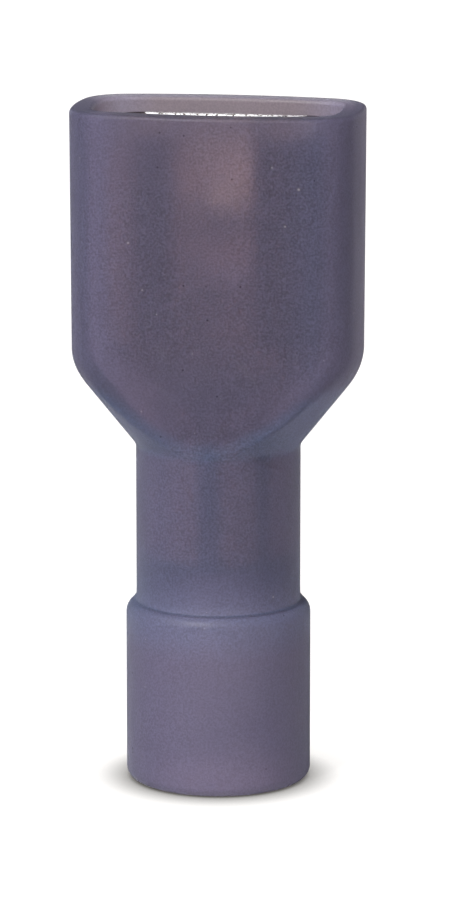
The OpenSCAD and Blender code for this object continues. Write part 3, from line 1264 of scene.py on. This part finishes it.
@dataclass
class Studio:
    """Pale floor, soft light and the camera."""

    azimuth: float = math.radians(9.15)
    elevation: float = math.radians(12.12)
    distance: float = 171.8 * MM
    aim: tuple[float, float, float] = (0.29 * MM, 0.047 * MM, 11.37 * MM)
    sensor: float = 36.0
    lens: float = 201.6
    floor_size: float = 1.2
    contacts: tuple[Contact, ...] = (
        Contact(1.1 * MM, 1.2, (0.5, 1.4, 1.0)),
        Contact(3.0 * MM, 0.6, (1.0, 5.0, 1.0)),
    )
    plain_floor: Colour = (0.88, 0.88, 0.88, 1)
    shaded_floor: Colour = (0.08, 0.075, 0.07, 1)
    bright_floor: Colour = (1.0, 0.985, 0.97, 1)
    floor_glow: float = 1.09
    floor_lit: float = 0.08
    room: float = 0.42
    lamp_distance: float = 260 * MM
    lamp_aim: tuple[float, float, float] = (0, 0, 12 * MM)
    lamps: tuple[Lamp, ...] = (
        Lamp("key", -48.0, 38.0, 0.29, 200 * MM),
        Lamp("glint", -22.0, 48.0, 0.68, 20 * MM),
        Lamp("fill", 62.0, 22.0, 0.035, 200 * MM),
    )

    def towards(self, azimuth: float, elevation: float) -> Vector:
        """Direction from the part to a place round it.

        Args:
            azimuth: Turn from the front to the right, in radians.
            elevation: Angle above the floor, in radians.

        Returns:
            A direction of length 1.
        """
        flat = math.cos(elevation)
        return Vector((math.sin(azimuth) * flat, -math.cos(azimuth) * flat, math.sin(elevation)))

    def camera(self) -> None:
        """Puts the camera where the part is seen at its viewing angle."""
        data = bpy.data.cameras.new("camera")
        data.sensor_width, data.lens = self.sensor, self.lens
        data.clip_start, data.clip_end = 10 * MM, 10
        camera = bpy.data.objects.new("camera", data)
        bpy.context.scene.collection.objects.link(camera)
        back = self.towards(self.azimuth, self.elevation)
        camera.location = Vector(self.aim) + back * self.distance
        camera.rotation_euler = (-back).to_track_quat("-Z", "Y").to_euler()
        bpy.context.scene.camera = camera

    def floor(self) -> None:
        """Makes the pale floor, which stays white where nothing shades it."""
        half = self.floor_size / 2
        points = np.array([[-half, -half, 0], [half, -half, 0], [half, half, 0], [-half, half, 0]])
        floor = make_piece("floor", points, np.array([[0, 1, 2, 3]]))
        material, graph, output = new_material("floor_paper")
        bare: Value = 1.0
        for contact in self.contacts:
            near = graph.add(
                "ShaderNodeAmbientOcclusion", samples=8, in_Distance=contact.reach,
                in_Normal=Vector(contact.lean).normalized(),
            )
            shade = graph.math("POWER", near.outputs["AO"], contact.depth)
            bare = graph.math("MULTIPLY", bare, shade)
        plain = graph.add("ShaderNodeBsdfDiffuse", in_Color=self.plain_floor)
        white = graph.mix(bare, self.shaded_floor, self.bright_floor)
        glow = graph.add("ShaderNodeEmission", in_Color=white, in_Strength=self.floor_glow)
        paper = graph.add("ShaderNodeBsdfDiffuse", in_Color=graph.scaled(white, self.floor_lit))
        shown = graph.add("ShaderNodeAddShader", in_0=glow.outputs[0], in_1=paper.outputs[0])
        rays = graph.add("ShaderNodeLightPath")
        mixed = graph.add(
            "ShaderNodeMixShader",
            in_0=rays.outputs[RayUse.CAMERA.value],
            in_1=plain.outputs[0],
            in_2=shown.outputs[0],
        )
        graph.feed(output.inputs["Surface"], mixed.outputs[0])
        floor.data.materials.append(material)

    def hang(self, lamp: Lamp) -> None:
        """Hangs a lamp that faces the part.

        Args:
            lamp: The lamp.
        """
        data = bpy.data.lights.new(lamp.name, "AREA")
        data.energy, data.size = lamp.power, lamp.size
        hung = bpy.data.objects.new(lamp.name, data)
        bpy.context.scene.collection.objects.link(hung)
        back = self.towards(math.radians(lamp.azimuth), math.radians(lamp.elevation))
        hung.location = Vector(self.lamp_aim) + back * self.lamp_distance
        hung.rotation_euler = (-back).to_track_quat("-Z", "Y").to_euler()

    def world(self) -> None:
        """Makes the soft light that comes from all sides, white to the camera."""
        world = bpy.data.worlds.new("room")
        world.use_nodes = True
        graph = Graph(world.node_tree)
        graph.tree.nodes.clear()
        room = graph.add("ShaderNodeBackground", in_Color=(1, 1, 1, 1), in_Strength=self.room)
        white = graph.add("ShaderNodeBackground", in_Color=(1, 1, 1, 1), in_Strength=1.0)
        rays = graph.add("ShaderNodeLightPath")
        shown = rays.outputs[RayUse.CAMERA.value]
        for use in (RayUse.GLOSSY, RayUse.TRANSMISSION):
            shown = graph.math("MAXIMUM", shown, rays.outputs[use.value])
        mixed = graph.add(
            "ShaderNodeMixShader", in_0=shown, in_1=room.outputs[0], in_2=white.outputs[0]
        )
        output = graph.add("ShaderNodeOutputWorld")
        graph.feed(output.inputs["Surface"], mixed.outputs[0])
        bpy.context.scene.world = world

    def build(self) -> None:
        """Sets the stage."""
        self.camera()
        self.floor()
        self.world()
        for lamp in self.lamps:
            self.hang(lamp)
        bpy.context.scene.view_settings.view_transform = "Standard"


def main() -> None:
    """Builds the stage and the pieces in order."""
    logging.basicConfig(level=logging.INFO)
    Studio().build()
    housing = Housing().build()
    LOG.info("%s: %d faces", housing.name, len(housing.data.polygons))
    terminal = Terminal().build()
    LOG.info("%s: %d faces", terminal.name, len(terminal.data.polygons))


if __name__ == "__main__":
    main()
